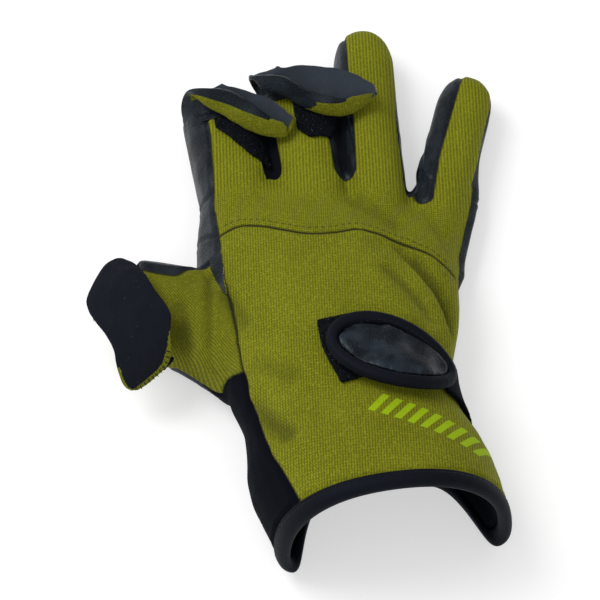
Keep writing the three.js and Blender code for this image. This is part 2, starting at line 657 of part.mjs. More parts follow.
for (const cap of caps) {
  const at = capSurface(cap);
  const sideLength = capSideEnds - 0.04;
  addPiece(cap.name, clothFrom(at, (t) => capSeam(t) + capSlit, () => 1, capSteps, capColumns, 0,
    -capWall), materials.olive);
  addPiece(cap.name + "_side", clothFrom((t, v) => at(t * sideLength, v), () => -1,
    (t) => capSeam(t * sideLength), 9, 2, 0, -capWall), materials.leather);
}
addPiece("thumb_flap", clothFrom(flapSurface, () => -1, () => 1, flapSteps, capColumns, 0, wall),
  materials.olive);
addPiece("thumb_hinge", clothFrom(hingeSurface, () => -1, () => 1, 8, 4, 0,
  flapHinge.thickness), materials.olive);
addPiece("thumb_patch", clothFrom((t, v) => flapSurface(
  THREE.MathUtils.lerp(flapPatch.from, flapPatch.to, t),
  THREE.MathUtils.lerp(flapPatch.left, flapPatch.right, (v + 1) / 2)),
  () => -1, () => 1, 4, 4, wall + seamGap, wall + seamGap + flapPatch.thickness), materials.hook);
for (const patch of patches) addPiece(patch.name, fingerPatch(patch), materials.hook);
addPiece("strap_band", strapBand(), materials.neoprene);
addPiece("strap_pad", strapPad(), materials.leather);
addPiece("strap_piping", strapPiping(), materials.binding);
addPiece("strap_tab", strapTab(), materials.hook);

// The origin is the middle of the glove's footprint, on the surface that it lies on.
const box = new THREE.Box3().setFromObject(glove);
glove.position.set(-(box.min.x + box.max.x) / 2, -(box.min.y + box.max.y) / 2, -box.min.z);

export default glove;
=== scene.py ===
import json
import math

import bmesh
import bpy
import numpy as np
from mathutils import Matrix, Vector, noise
from mathutils.bvhtree import BVHTree

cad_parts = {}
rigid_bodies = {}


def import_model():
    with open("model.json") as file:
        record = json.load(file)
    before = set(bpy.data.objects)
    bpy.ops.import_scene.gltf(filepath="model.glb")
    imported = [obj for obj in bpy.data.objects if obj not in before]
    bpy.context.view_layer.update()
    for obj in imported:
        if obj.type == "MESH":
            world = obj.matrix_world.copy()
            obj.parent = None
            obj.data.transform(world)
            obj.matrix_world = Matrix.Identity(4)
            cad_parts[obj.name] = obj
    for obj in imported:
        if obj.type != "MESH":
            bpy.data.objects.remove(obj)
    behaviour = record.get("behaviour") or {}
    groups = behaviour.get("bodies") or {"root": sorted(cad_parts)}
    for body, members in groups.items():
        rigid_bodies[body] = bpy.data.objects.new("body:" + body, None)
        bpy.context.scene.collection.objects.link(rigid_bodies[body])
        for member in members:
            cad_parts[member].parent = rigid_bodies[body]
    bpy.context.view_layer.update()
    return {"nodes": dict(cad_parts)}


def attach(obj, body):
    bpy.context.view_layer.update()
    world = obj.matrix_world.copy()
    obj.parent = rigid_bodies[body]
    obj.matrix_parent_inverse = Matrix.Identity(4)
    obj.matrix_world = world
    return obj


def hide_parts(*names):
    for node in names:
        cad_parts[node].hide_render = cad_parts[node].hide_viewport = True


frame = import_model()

nodes = frame["nodes"]
gloveShift = Vector((10.2, -118.91, 0))  # from the cuff's middle to the middle of the footprint, mm


def place(x, y, z):
    return (Vector((x, y, z)) + gloveShift) / 1000


# Camera: as the photograph looks down on the glove
cameraLook = {"target": (-19.98, 94.53, 54.37), "azimuth": -11, "elevation": 60, "distance": 1.5,
              "lens": 229.5}


def makeCamera(look):
    azimuth, elevation = math.radians(look["azimuth"]), math.radians(look["elevation"])
    back = Vector((math.sin(azimuth) * math.cos(elevation), -math.cos(azimuth) * math.cos(elevation),
                   math.sin(elevation)))
    lens = bpy.data.cameras.new("camera")
    lens.lens = look["lens"]
    lens.sensor_width = 36
    lens.clip_start = 0.05
    camera = bpy.data.objects.new("camera", lens)
    camera.location = place(*look["target"]) + back * look["distance"]
    camera.rotation_euler = back.to_track_quat("Z", "Y").to_euler()
    bpy.context.scene.collection.objects.link(camera)
    bpy.context.scene.camera = camera


makeCamera(cameraLook)


# Shader maths: a wire is one output socket, and sums of wires add Math nodes
class Wire:
    def __init__(self, finish, socket):
        self.finish, self.socket = finish, socket

    def maths(self, kind, a, b=0.0):
        return self.finish.add("ShaderNodeMath", {"operation": kind}, {0: a, 1: b})

    def __add__(self, other): return self.maths("ADD", self, other)
    def __radd__(self, other): return self.maths("ADD", other, self)
    def __sub__(self, other): return self.maths("SUBTRACT", self, other)
    def __rsub__(self, other): return self.maths("SUBTRACT", other, self)
    def __mul__(self, other): return self.maths("MULTIPLY", self, other)
    def sine(self): return self.maths("SINE", self)
    def size(self): return self.maths("ABSOLUTE", self)
    def part(self): return self.maths("FRACT", self)

    def step(self, low, high):  # 0 below low, 1 above high
        return self.finish.add("ShaderNodeMapRange", {"interpolation_type": "SMOOTHSTEP"},
                               {"Value": self, "From Min": low, "From Max": high})


class Finish:
    def __init__(self, name, **fixed):
        self.material = bpy.data.materials.new(name)
        self.material.use_nodes = True
        self.nodes = self.material.node_tree.nodes
        self.links = self.material.node_tree.links
        self.shader = self.nodes["Principled BSDF"]
        for socket, value in fixed.items():
            self.feed(socket.replace("_", " "), value)

    def add(self, kind, settings=None, sockets=None, out=0):
        node = self.nodes.new(kind)
        for key, value in (settings or {}).items():
            if key == "stops":
                while len(node.color_ramp.elements) < len(value):
                    node.color_ramp.elements.new(0.5)
                for element, (position, colour) in zip(node.color_ramp.elements, value):
                    element.position, element.color = position, (*colour, 1)
            else:
                setattr(node, key, value)
        for key, value in (sockets or {}).items():
            self.connect(node.inputs[key], value)
        return Wire(self, node.outputs[out])

    def connect(self, socket, value):
        if isinstance(value, Wire):
            self.links.new(value.socket, socket)
        else:
            socket.default_value = value

    def feed(self, name, value):
        self.connect(self.shader.inputs[name], value)

    def place(self):
        return self.add("ShaderNodeTexCoord", out="Object")

    def axes(self, vector):
        split = self.add("ShaderNodeSeparateXYZ", sockets={"Vector": vector})
        return [Wire(self, split.socket.node.outputs[i]) for i in range(3)]

    def cloud(self, size, detail=3, rough=0.5, at=None, distortion=0.0):
        # noise with lumps of that size in metres
        return self.add("ShaderNodeTexNoise", sockets={"Vector": at or self.place(), "Scale": 1 / size,
                        "Detail": detail, "Roughness": rough, "Distortion": distortion})

    def mix(self, share, first, second):
        return self.add("ShaderNodeMix", {"data_type": "RGBA"}, {0: share, 6: first, 7: second}, out=2)

    def bump(self, height, depth):  # depth in metres for a height from 0 to 1
        self.feed("Normal", self.add("ShaderNodeBump", sockets={"Height": height, "Distance": depth,
                                                                "Strength": 1.0}))


def linear(c):
    return ((c / 255 + 0.055) / 1.055) ** 2.4 if c > 10 else c / 255 / 12.92


def colour(red, green, blue, light=1.0):  # from 0 to 255 as seen, to linear
    return (linear(red * light), linear(green * light), linear(blue * light), 1)


def attribute(finish, name):
    return finish.add("ShaderNodeAttribute", {"attribute_name": name}, out="Fac")


# Olive neoprene: a knit face with ribs, in four cuts. weaveUpTo: below this y, in mm, the ribs cross
knitCuts = {
    "fingerKnit": {"turn": 9, "pitch": 0.00135, "row": 0.0011, "depth": 0.00022, "light": 0.97, "ribs": 0.8,
                   "weaveUpTo": 160},
    "handKnit": {"turn": 9, "pitch": 0.00105, "row": 0.0013, "depth": 0.00012, "light": 1.0, "ribs": 0.3},
    "thumbKnit": {"turn": -24, "pitch": 0.00085, "row": 0.0009, "depth": 0.00015, "light": 0.9,
                  "ribs": 0.5},
    "capKnit": {"turn": 20, "pitch": 0.0006, "row": 0.0007, "depth": 0.00012, "light": 0.92, "ribs": 0.25},
}
# fold and foldShadeShare: painted shade, the olive drawn darker in the cloth's creases
oliveLook = {"base": (134, 137, 20), "dark": (84, 86, 12), "pale": (150, 153, 38), "roughness": 0.88,
             "sheen": (190, 195, 90), "fold": (44, 45, 12), "foldShadeShare": 0.62, "seam": (20, 20, 12),
             "seamShare": 0.9}
printLook = {"start": (-1.3, 44.5), "end": (40.5, 20.7), "bars": 9, "height": 9.5, "slant": 0.35,
             "fill": 0.52, "colour": (146, 176, 14)}


def knitHeight(finish, cut, at):
    x, y, _ = finish.axes(at)
    turn = math.radians(cut["turn"])
    across = x * math.cos(turn) - y * math.sin(turn)
    along = x * math.sin(turn) + y * math.cos(turn)
    wobble = finish.cloud(0.006, 2, at=at) * 0.9
    ribs = (across * (2 * math.pi / cut["pitch"]) + wobble).sine() * 0.5 + 0.5
    zigzag = (across * (math.pi / cut["pitch"])).sine().size()
    rows = ((along + zigzag * (cut["row"] * 0.5)) * (2 * math.pi / cut["row"])).sine() * 0.5 + 0.5
    share = cut["ribs"]
    if "weaveUpTo" in cut:
        pace = 2 * math.pi / cut["pitch"] * 0.75
        weave = ((across + along) * pace).sine() * ((across - along) * pace).sine() * 0.85 + 0.5
        edge = place(0, cut["weaveUpTo"], 0).y
        above = (y + x * 0.25 + finish.cloud(0.02, 2, at=at) * 0.02).step(edge, edge + 0.014)
        return (ribs * share + rows * (1 - share)) * above + weave * (1 - above)
    return ribs * share + ribs * rows * (1 - share)


def makeKnit(name, cut, look, printed=False):
    finish = Finish(name, Roughness=look["roughness"], Sheen_Weight=0.12, Sheen_Roughness=0.4,
                    Sheen_Tint=colour(*look["sheen"]), Specular_IOR_Level=0.12)
    at = finish.place()
    height = knitHeight(finish, cut, at)
    fluff = finish.cloud(0.0009, 2, 0.75, at)
    patches = finish.cloud(0.022, 3, 0.55, at)
    dark, base, pale = [colour(*look[shade], cut["light"]) for shade in ("dark", "base", "pale")]
    tint = finish.mix(height, dark, base)
    tint = finish.mix((patches - 0.4) * 0.5, tint, pale)
    tint = finish.mix(fluff.step(0.52, 0.66) * 0.45, tint, pale)
    tint = finish.mix((1 - fluff.step(0.36, 0.48)) * 0.4, tint, colour(*look["dark"]))
    # painted shade: darker in the creases, by the crease depth
    tint = finish.mix(attribute(finish, "fold") * look["foldShadeShare"], tint, colour(*look["fold"]))
    seam = attribute(finish, "seam")
    tint = finish.mix((1 - seam.step(0.0001, 0.0011)) * look["seamShare"], tint, colour(*look["seam"]))
    if printed:
        tint = finish.mix(printMask(finish, at), tint, colour(*printLook["colour"]))
    finish.feed("Base Color", tint)
    finish.bump(height * 0.8 + fluff * 0.35, cut["depth"])
    return finish.material


def printMask(finish, at):
    # a row of slanted bars along a line over the wrist
    x, y, _ = finish.axes(at)
    start, end = place(*printLook["start"], 0), place(*printLook["end"], 0)
    way = (end - start).normalized()
    along = (x - start.x) * way.x + (y - start.y) * way.y
    aside = (y - start.y) * way.x - (x - start.x) * way.y
    height = printLook["height"] / 1000
    length = (end - start).length
    slanted = (along - aside * printLook["slant"]) * (printLook["bars"] / length)
    fill = printLook["fill"] / 2
    bar = 1 - (slanted.part() - 0.5).size().step(fill - 0.03, fill + 0.03)
    inRow = 1 - aside.size().step(height / 2 - 0.0002, height / 2 + 0.0002)
    inRun = slanted.step(0.0, 0.01) * (1 - slanted.step(printLook["bars"] - 0.01, printLook["bars"]))
    # the print rubbed thin in spots
    wearAndHighlight = finish.cloud(0.0012, 2, 0.7, at).step(0.28, 0.4)
    return bar * inRow * inRun * (0.55 + wearAndHighlight * 0.4)


# Black pieces: knit gusset, linings, leather, hook tape, binding, thread
blackLook = {
    "knit": (12, 13, 21), "knitDark": (4, 5, 9), "lining": (27, 29, 37), "liningDark": (11, 12, 17),
    "twill": (62, 68, 76), "twillDark": (26, 30, 37), "inside": (13, 14, 19), "insideDark": (4, 4, 8),
    # leatherHighlight and padHighlight are painted highlights on the leather
    "leather": (8, 12, 17), "leatherHighlight": (27, 35, 43), "pad": (2, 4, 9), "padHighlight": (27, 35, 44),
    # glint: the colour of painted highlights on the hook tape
    "hook": (7, 7, 12), "glint": (92, 96, 116), "binding": (10, 11, 20), "bindingDark": (2, 2, 6),
}
coolShine = (0.66, 0.82, 1, 1)


def twillHeight(finish, at, pitch):
    # fine slanting ribs, broken into short threads
    x, y, z = finish.axes(at)
    ribs = ((x + y * 0.55 + z * 0.4) * (2 * math.pi / pitch)).sine() * 0.5 + 0.5
    threads = ((y - x * 0.5) * (math.pi / pitch)).sine().size()
    return ribs * 0.7 + threads * 0.3


def makeBlackKnit():
    finish = Finish("blackKnit", Roughness=0.9, Specular_IOR_Level=0.06, Specular_Tint=coolShine)
    at = finish.place()
    height = twillHeight(finish, at, 0.00085)
    share = height * 0.8 + finish.cloud(0.01, 3, 0.6, at) * 0.3
    finish.feed("Base Color", finish.mix(share, colour(*blackLook["knitDark"]), colour(*blackLook["knit"])))
    finish.bump(height, 0.00013)
    return finish.material


def makeLining(name, twill, shades):
    finish = Finish(name, Roughness=0.92, Sheen_Weight=0.04, Sheen_Roughness=0.5,
                    Sheen_Tint=colour(150, 160, 175), Specular_IOR_Level=0.1, Specular_Tint=coolShine)
    at = finish.place()
    nap = finish.cloud(0.0006, 3, 0.75, at)
    rub = finish.cloud(0.009, 3, 0.6, at)
    height = twillHeight(finish, at, 0.0008) * twill + nap * (1 - twill)
    tint = finish.mix(height * 0.6 + rub * 0.5, *[colour(*blackLook[shade]) for shade in shades])
    lint = finish.cloud(0.0009, 1, 0.4, at).step(0.74, 0.8)
    finish.feed("Base Color", finish.mix(lint * 0.35, tint, colour(92, 96, 104)))
    finish.bump(height * 0.7 + finish.cloud(0.0025, 2, 0.5, at) * 0.4, 0.0002)
    return finish.material


def makeLeather(name, shades, grain, shine, crease, relief, highlightPatchSize):
    finish = Finish(name, Specular_IOR_Level=0.24, Coat_Roughness=0.3, Specular_Tint=coolShine)
    at = finish.place()
    pebbles = finish.add("ShaderNodeTexVoronoi", {"feature": "DISTANCE_TO_EDGE"},
                         {"Vector": at, "Scale": 1 / grain}, out="Distance")
    fine = finish.cloud(grain * 2.5, 4, 0.6, at)
    folds = finish.cloud(0.005, 3, 0.55, at, 1.2)
    # painted highlight: patches painted paler as soft highlights, with a coat over the same patches
    wearAndHighlight = finish.cloud(highlightPatchSize, 2.5, 0.5, at)
    tint = finish.mix(wearAndHighlight.step(0.38, 0.72), *[colour(*blackLook[shade]) for shade in shades])
    tint = finish.mix((1 - pebbles.step(0.0, 0.12)) * (relief / 0.0014), tint, colour(8, 10, 14))
    finish.feed("Base Color", tint)
    finish.feed("Roughness", shine + fine * 0.2)
    finish.feed("Coat Weight", wearAndHighlight.step(0.3, 0.7) * 0.22)
    finish.bump(pebbles.step(0.0, 0.25) * 0.25 + fine * 0.2 + folds * crease, relief)
    return finish.material


def makeHook():
    finish = Finish("hookTape", Specular_IOR_Level=0.12, Specular_Tint=coolShine)
    at = finish.place()
    hooks = finish.add("ShaderNodeTexVoronoi", {"feature": "F1"}, {"Vector": at, "Scale": 1100.0,
                       "Randomness": 0.75}, out="Distance")
    loops = 1 - hooks.step(0.1, 0.6)
    # painted highlight: pale specks in the tape's colour, where it is also glossier
    glint = finish.cloud(0.0011, 2, 0.8, at).step(0.55, 0.75)
    tint = finish.mix(glint * loops, colour(*blackLook["hook"]), colour(*blackLook["glint"]))
    finish.feed("Base Color", tint)
    finish.feed("Roughness", 0.75 - glint * 0.4)
    finish.bump(loops + finish.cloud(0.004, 2, 0.5, at) * 0.6, 0.0006)
    return finish.material


ribPitch = 0.0009  # ribs across the cuff's tape


def makeBinding():
    finish = Finish("bindingTape", Roughness=0.65, Specular_IOR_Level=0.14, Specular_Tint=coolShine)
    at = finish.place()
    x, y, z = finish.axes(at)
    weave = ((x + y * 0.6) * 4200).sine() * ((y - x * 0.6 + z) * 4200).sine() * 0.3 + 0.3
    weave = weave + ((attribute(finish, "along") * (2 * math.pi / ribPitch)).sine() * 0.2 + 0.2)
    rub = finish.cloud(0.006, 3, 0.6, at)
    dark, pale = colour(*blackLook["bindingDark"]), colour(*blackLook["binding"])
    finish.feed("Base Color", finish.mix(weave * 0.5 + rub * 0.5, dark, pale))
    finish.bump(weave * 0.5 + rub * 0.6, 0.0002)
    return finish.material


def makeThread(name, shade):
    finish = Finish(name, Roughness=0.75, Specular_IOR_Level=0.1, Specular_Tint=coolShine)
    x, y, z = finish.axes(finish.place())
    twist = ((x + y + z) * 9000).sine() * 0.5 + 0.5
    finish.feed("Base Color", finish.mix(twist, colour(*shade, 0.7), colour(*shade)))
    finish.bump(twist, 0.00008)
    return finish.material


finishes = {
    **{name: makeKnit(name, cut, oliveLook, printed=name == "handKnit") for name, cut in knitCuts.items()},
    "blackKnit": makeBlackKnit(),
    "lining": makeLining("brushedLining", 0.2, ("liningDark", "lining")),
    "inside": makeLining("insideLining", 0.2, ("insideDark", "inside")),
    "twill": makeLining("twillLining", 0.8, ("twillDark", "twill")),
    # painted shade: leather down between the fingers takes the dark inside colours
    "paintedSlotShade": makeLining("paintedSlotShade", 0.2, ("insideDark", "inside")),
    "leather": makeLeather("gloveLeather", ("leather", "leatherHighlight"), 0.0009, 0.36, 0.7, 0.0007, 0.013),
    "padLeather": makeLeather("padLeather", ("pad", "padHighlight"), 0.0011, 0.28, 0.5, 0.0003, 0.0085),
    "hook": makeHook(),
    "binding": makeBinding(),
    "oliveThread": makeThread("oliveThread", (100, 102, 30)),
    "blackThread": makeThread("blackThread", (34, 35, 45)),
}
print("finishes made:", len(finishes))


# Shared mesh steps
def nodeMesh(names):
    bm = bmesh.new()
    for name in names:
        bm.from_mesh(nodes[name].data)
    bmesh.ops.remove_doubles(bm, verts=bm.verts, dist=1e-6)
    return bm


def nodeCorners(name):
    bm = nodeMesh([name])
    corners = [vert.co.copy() for vert in bm.verts]
    bm.free()
    return corners


def newPiece(name, bm, *materials):
    mesh = bpy.data.meshes.new(name)
    bm.to_mesh(mesh)
    bm.free()
    piece = bpy.data.objects.new(name, mesh)
    bpy.context.scene.collection.objects.link(piece)
    for material in materials:
        mesh.materials.append(finishes[material])
    mesh.polygons.foreach_set("use_smooth", [True] * len(mesh.polygons))
    return piece


def modify(piece, kind, **settings):
    modifier = piece.modifiers.new(kind.lower(), kind)
    for key, value in settings.items():
        setattr(modifier, key, value)
    return modifier


def settle(piece):
    # modifiers become mesh
    bpy.context.view_layer.update()
    graph = bpy.context.evaluated_depsgraph_get()
    mesh = bpy.data.meshes.new_from_object(piece.evaluated_get(graph))
    piece.modifiers.clear()
    piece.data = mesh
    mesh.polygons.foreach_set("use_smooth", [True] * len(mesh.polygons))
    return piece


def softCopy(name, names, material, voxel, rounds, swell=0.0):
    piece = newPiece(name, nodeMesh(names), material)
    if swell:
        modify(piece, "DISPLACE", strength=swell, mid_level=0)
    modify(piece, "REMESH", mode="VOXEL", voxel_size=voxel, use_smooth_shade=True)
    modify(piece, "SMOOTH", factor=0.5, iterations=rounds)
    return settle(piece)


def dress(piece, slot, *replaced):
    if "seam" not in piece.data.attributes:  # the knit then draws no seam
        away = piece.data.attributes.new("seam", "FLOAT", "POINT")
        away.data.foreach_set("value", [1.0] * len(piece.data.vertices))
    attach(piece, "root")
    if replaced:
        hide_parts(*replaced)
    return piece


def meshPoints(mesh):
    points = np.zeros(len(mesh.vertices) * 3)
    mesh.vertices.foreach_get("co", points)
    normals = np.zeros(len(mesh.vertices) * 3)
    mesh.vertices.foreach_get("normal", normals)
    return points.reshape(-1, 3), normals.reshape(-1, 3)


def movePoints(piece, points):
    piece.data.vertices.foreach_set("co", points.ravel())


def between(value, low, high):
    # 0 below low, 1 above high, or the other way round where low is the higher
    return np.clip((value - low) / (high - low), 0, 1)


def smooth(share):
    return share * share * (3 - 2 * share)


# The glove's skin: the CAD shells are fused and smoothed, then cut apart again along their seams
skinLook = {"voxel": 0.0009, "swell": 0.0003, "rounds": 45, "groove": 0.0006, "grooveWidth": 0.0009,
            "roll": 0.0002, "uneven": 0.0005, "unevenSize": 0.03, "unevenFades": (0.004, 0.01),
            "tuck": 0.0016, "tuckDepth": 0.0009, "tuckFades": (-0.0008, 0.0006), "creasesAbove": 0.014,
            "foldShade": 1.7}
leatherPanels = ("index_front", "middle_front", "ring_front", "little_front", "thumb_front", "palm")
skinPanels = {  # outer finish, inner finish, slot
    "finger_backs": ("fingerKnit", "inside", "olive_neoprene"),
    "hand_back": ("handKnit", "inside", "olive_neoprene"),
    "thumb_back": ("thumbKnit", "inside", "olive_neoprene"),
    "cuff_gusset": ("blackKnit", "inside", "black_neoprene"),
    **{name: ("leather", "inside", "leather") for name in leatherPanels},
    "cuff_binding": ("binding", "binding", "binding"),
}
# middle lines of the hand and its fingers, with half widths, to tell the outside from the inside
middleLines = [
    ((-4, -10, 26), (0, 150, 16), 45), ((-31.6, 150, 13), (-31.2, 225, 12), 16),
    ((-1.2, 150, 13), (1, 230, 12), 14.5), ((22.8, 150, 13), (34.2, 240, 12), 13),
    ((45, 142, 13), (75.3, 208, 12), 12), ((-45, 106, 14), (-92, 136, 12), 17),
]
# creases in the cloth: depth (below 0 for a ridge), reach, then the points of a line, in mm. Their depth
# also paints shade into the olive's colour
creases = [
    (0.9, 2.6, (31.5, 113), (35.6, 104.6), (38.6, 95), (39.5, 85)),
    (1.2, 3.0, (18.5, 108), (26, 96), (30.5, 84.5)),
    (1.2, 3.0, (24, 80), (38, 66)), (0.8, 4.0, (14, 150), (26, 133)), (0.8, 4.0, (28, 60), (40, 44)),
    (1.0, 1.4, (-50.8, 126), (-51.8, 119.4), (-54.8, 105.1), (-56.9, 93.8), (-56.8, 86), (-55.6, 80)),
    (-0.9, 2.4, (-56.5, 121), (-59.5, 107), (-61.5, 95)),
    (1.2, 3.5, (-66, 114), (-62, 98)), (1.0, 3.0, (-58, 84), (-48, 70)), (1.0, 3.0, (-47, 116), (-42, 98)),
    (1.5, 4.0, (-46, 60), (-36, 40)), (0.8, 5.0, (-42, 75), (-30, 66)),
    # painted shadow: this crease darkens the thumb beside the flap, as the flap's shadow
    (1.2, 3.6, (-69, 105), (-67.8, 98.5), (-68, 93)),
]
# folds that lap to the line's left: half of the step down, reach, then the line's points, in mm
folds = [
    (1.5, 5.0, (24.2, 117.5), (27, 112), (31.1, 104.3), (35, 98), (37.2, 90.5), (37.8, 81)),
    (0.6, 3.5, (39.5, 142), (42.5, 129), (43.8, 122)),
]
creaseShape = {"flank": 0.35, "flankAt": 2.2, "foldEdge": 0.9, "foldFade": 1.5}


def lineDistance(x, y, line):
    # how far from the line, and how far to its left
    away = np.full(len(x), 1e9)
    aside = np.zeros(len(x))
    for (x1, y1), (x2, y2) in zip(line, line[1:]):
        dx, dy = x2 - x1, y2 - y1
        t = np.clip(((x - x1) * dx + (y - y1) * dy) / (dx * dx + dy * dy), 0, 1)
        far = np.hypot(x - x1 - t * dx, y - y1 - t * dy)
        nearer = far < away
        away[nearer] = far[nearer]
        aside[nearer] = ((dx * (y - y1) - dy * (x - x1)) / math.hypot(dx, dy))[nearer]
    return away, aside


def creaseDepth(x, y, look):
    depth = 0
    for deep, reach, *line in creases:
        away, _ = lineDistance(x, y, line)
        flank = np.exp(-((away - look["flankAt"] * reach) / reach) ** 2)
        depth = depth + deep * np.exp(-(away / reach) ** 2) - look["flank"] * deep * flank
    for deep, reach, *line in folds:
        away, aside = lineDistance(x, y, line)
        step = np.tanh(aside / look["foldEdge"])
        depth = depth + deep * step * np.exp(-(away / reach) ** look["foldFade"])
    return depth


def insideShare(points, normals):
    # above 0 where a point faces away from the middle line that it belongs to
    best = np.full(len(points), 1e9)
    facing = np.zeros(len(points))
    for start, end, half in middleLines:
        a, b = np.array(place(*start)), np.array(place(*end))
        t = np.clip((points - a) @ (b - a) / ((b - a) @ (b - a)), 0, 1)
        away = points - a - t[:, None] * (b - a)
        far = np.linalg.norm(away, axis=1) / half
        nearer = far < best
        best[nearer] = far[nearer]
        facing[nearer] = (away * normals).sum(1)[nearer]
    return facing


# Where the seams run otherwise than between the solids, all in mm. The thumb's leather has a wedge beside
# the hand (x, y, half width), none on the side towards the cuff, and a wider strip above the olive
thumbWedge = [(-47.4, 133, 2.1), (-47, 124, 1.3), (-46.6, 116, 0.2)]
thumbLine = (-45, 106), (-0.843, 0.538)  # a point and the way of the thumb's middle line
thumbTop = {"border": 101.8, "slope": -0.42, "raise": 3.8, "over": 3.5, "fades": (-88, -77, -57, -49)}
# pull: how much nearer a panel counts than it is; spread: of the bell round a middle, in square mm
wedgePull = {"edge": 0.4, "low": 115.5, "high": 134, "above": 16, "pull": 30}
cuffSidePull = {"below": (8, 14), "above": (0.6, 1.8), "pull": 16}
crotchPull = {"middle": (-55, 129.5), "spread": 40, "pull": 3.5}
gussetPull = {"middle": (-52, 78), "spread": 40, "fades": (37, 19), "pull": 7}
ringPull = {"base": (22.8, 142), "lean": 0.1163, "aside": (9.6, 11.2), "fades": (147, 155, 186, 206),
            "pull": 9}


def nearBy(x, y, look):
    mx, my = look["middle"]
    return np.exp(-((x - mx) ** 2 + (y - my) ** 2) / look["spread"])


def thumbBias(x, y, z):
    # how much nearer the thumb's leather counts than it is, in m
    wedge = np.interp(-y, [-row[1] for row in thumbWedge], [row[0] for row in thumbWedge])
    half = np.interp(-y, [-row[1] for row in thumbWedge], [row[2] for row in thumbWedge])
    look = wedgePull
    inWedge = between(half - np.abs(x - wedge), -look["edge"], look["edge"])
    inWedge = inWedge * (y > look["low"]) * (y < look["high"]) * (z > look["above"])
    (x1, y1), (dx, dy) = thumbLine
    below = (y1 - y) * -dx - (x1 - x) * -dy
    cuffSide = between(below, *cuffSidePull["below"]) * between(z, *cuffSidePull["above"])
    crotch = nearBy(x, y, crotchPull)
    return (inWedge * look["pull"] - cuffSide * cuffSidePull["pull"] - crotch * crotchPull["pull"]) / 1000


def ringBias(x, y):
    # the leather reaches up the ring finger's far side
    x1, y1 = ringPull["base"]
    a, b, c, d = ringPull["fades"]
    aside = x - (x1 + (y - y1) * ringPull["lean"])
    share = between(aside, *ringPull["aside"]) * between(y, a, b) * between(y, d, c)
    return share * ringPull["pull"] / 1000


def gussetBias(x, y, z):
    return nearBy(x, y, gussetPull) * between(z, *gussetPull["fades"]) * gussetPull["pull"] / 1000


# the palm's leather stands out beside the little finger's base, mm
littleFlange = {"out": 3.8, "fades": (107, 117, 148, 172), "heights": (17, 11), "base": (45, 142),
                "way": (0.417, 0.909), "lean": 0.1, "aside": (1, 7)}


def flareLittle(points):
    x, y, z = (points * 1000 - np.array(gloveShift)).T
    a, b, c, d = littleFlange["fades"]
    x1, y1 = littleFlange["base"]
    dx, dy = littleFlange["way"]
    aside = (x - x1) * dy + np.where(y > y1, (y1 - y) * dx, (y1 - y) * littleFlange["lean"])
    share = between(y, a, b) * between(y, d, c) * between(aside, *littleFlange["aside"])
    share = share * between(z, *littleFlange["heights"])
    points[:, 0] += smooth(share) * littleFlange["out"] / 1000
    return points


def raiseThumb(points):
    x, y = points[:, 0] * 1000 - gloveShift.x, points[:, 1] * 1000 - gloveShift.y
    a, b, c, d = thumbTop["fades"]
    share = between(x, a, b) * between(x, d, c)
    above = between(y - thumbTop["slope"] * x, thumbTop["border"], thumbTop["border"] + thumbTop["over"])
    above = above * (x < d) * (y < 145)
    points[:, 1] += smooth(share) * smooth(above) * thumbTop["raise"] / 1000
    return points


def seamDistances(points):
    names = list(skinPanels)
    table = np.zeros((len(names), len(points)))
    for row, name in enumerate(names):
        bm = nodeMesh([name])
        tree = BVHTree.FromBMesh(bm)
        bm.free()
        table[row] = [tree.find_nearest(p)[3] for p in points]
    x, y, z = (np.array(points) * 1000 - np.array(gloveShift)).T
    table[names.index("thumb_front")] -= thumbBias(x, y, z)
    table[names.index("ring_front")] -= ringBias(x, y)
    table[names.index("cuff_gusset")] -= gussetBias(x, y, z)
    order = np.sort(table, axis=0)
    binding = names.index("cuff_binding")
    bound = np.min(np.delete(table, binding, axis=0), axis=0) - table[binding]  # above 0 on the binding
    table[binding] += skinLook["tuck"]
    fields = {}
    for row, name in enumerate(names):
        others = np.min(np.delete(table, row, axis=0), axis=0)
        fields[name] = others - table[row]  # above 0 on that panel
    return fields, bound, order[1] - order[0]


def cutAlong(bm, layer):
    # splits the faces that a field's zero line crosses
    crossed = [e for e in bm.edges if e.verts[0][layer] * e.verts[1][layer] < 0]
    for edge in crossed:
        a, b = edge.verts
        va, vb = a[layer], b[layer]
        if va * vb >= 0:
            continue
        share = va / (va - vb)
        if share < 0.12:
            a[layer] = 0.0
        elif share > 0.88:
            b[layer] = 0.0
        else:
            newEdge, vert = bmesh.utils.edge_split(edge, a, share)
            vert[layer] = 0.0
    for face in list(bm.faces):
        signs = [v[layer] for v in face.verts]
        if min(signs) < 0 < max(signs):
            zeros = [v for v in face.verts if v[layer] == 0.0]
            if len(zeros) >= 2:
                try:
                    bmesh.utils.face_split(face, zeros[0], zeros[-1])
                except ValueError:
                    pass


# between the fingers: x and y ranges, and the height above which the cloth shows its outer side, mm. Below
# that height the leather is painted dark, as shade
slots = [(-23, -11, 163, 200, 24.6), (8.5, 20, 154, 200, 23), (33, 52, 138, 168, 18.5)]


def inSlot(face):
    # 0 away from the slots, 1 down in one, 2 at its rim
    x, y, z = face.calc_center_median() * 1000 - gloveShift
    for x1, x2, y1, y2, rim in slots:
        if x1 < x < x2 and y1 < y < y2:
            return 2 if z > rim else 1
    return 0


